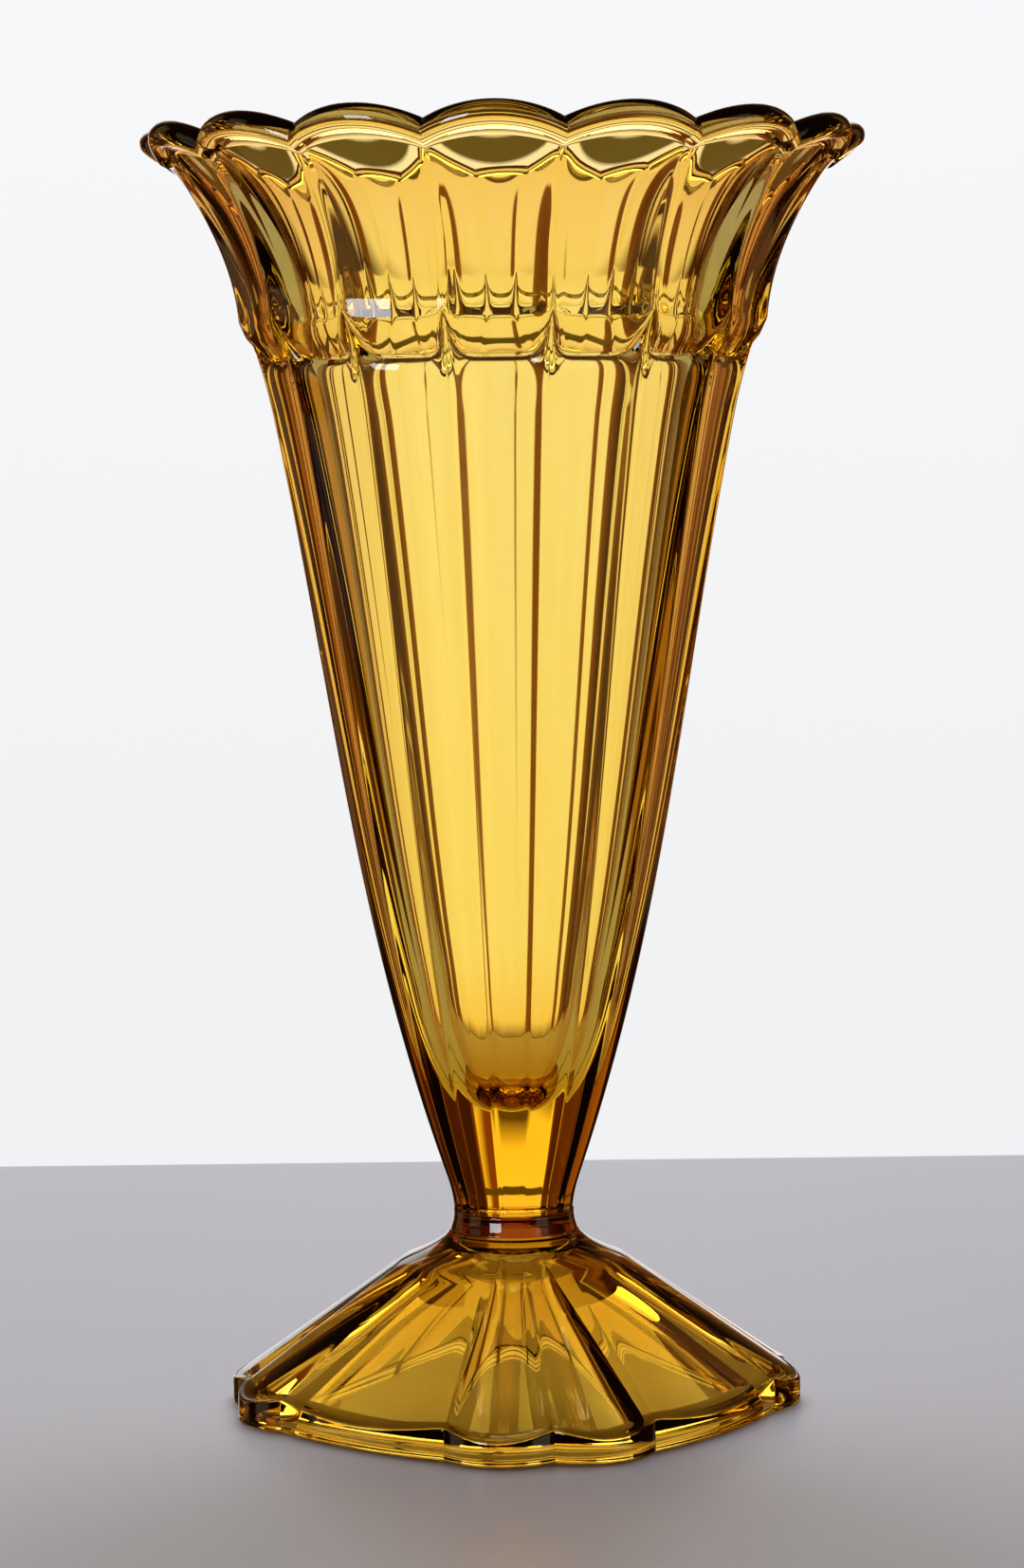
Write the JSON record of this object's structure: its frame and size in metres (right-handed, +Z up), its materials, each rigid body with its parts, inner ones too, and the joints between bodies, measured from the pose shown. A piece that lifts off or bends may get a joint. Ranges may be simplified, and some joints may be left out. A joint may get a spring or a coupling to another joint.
{
  "type": "trumpet vase",
  "caption": "Footed trumpet vase of pressed amber glass: fluted tapering bowl with a flared scalloped lip, solid stem, joined neck and hollow bell foot.",
  "frame": {"origin": "centre of the circle that the foot rests on, at table level", "axes": "+Z up along the vase's axis; the pairs of narrow foot lobes point along X and Y to within 2.5 degrees, the wide foot panels along the diagonals"},
  "size_m": [0.1326, 0.1326, 0.24],
  "materials": {
    "bowl_glass": "pressed and fire-polished, clear amber",
    "wafer_glass": "hot-joined, clear amber, dark where thick",
    "foot_glass": "pressed and fire-polished, clear amber"
  },
  "bodies": {
    "root": {"trumpet_bowl": "bowl_glass", "joining_wafer": "wafer_glass", "foot": "foot_glass"}
  },
  "joints": []
}
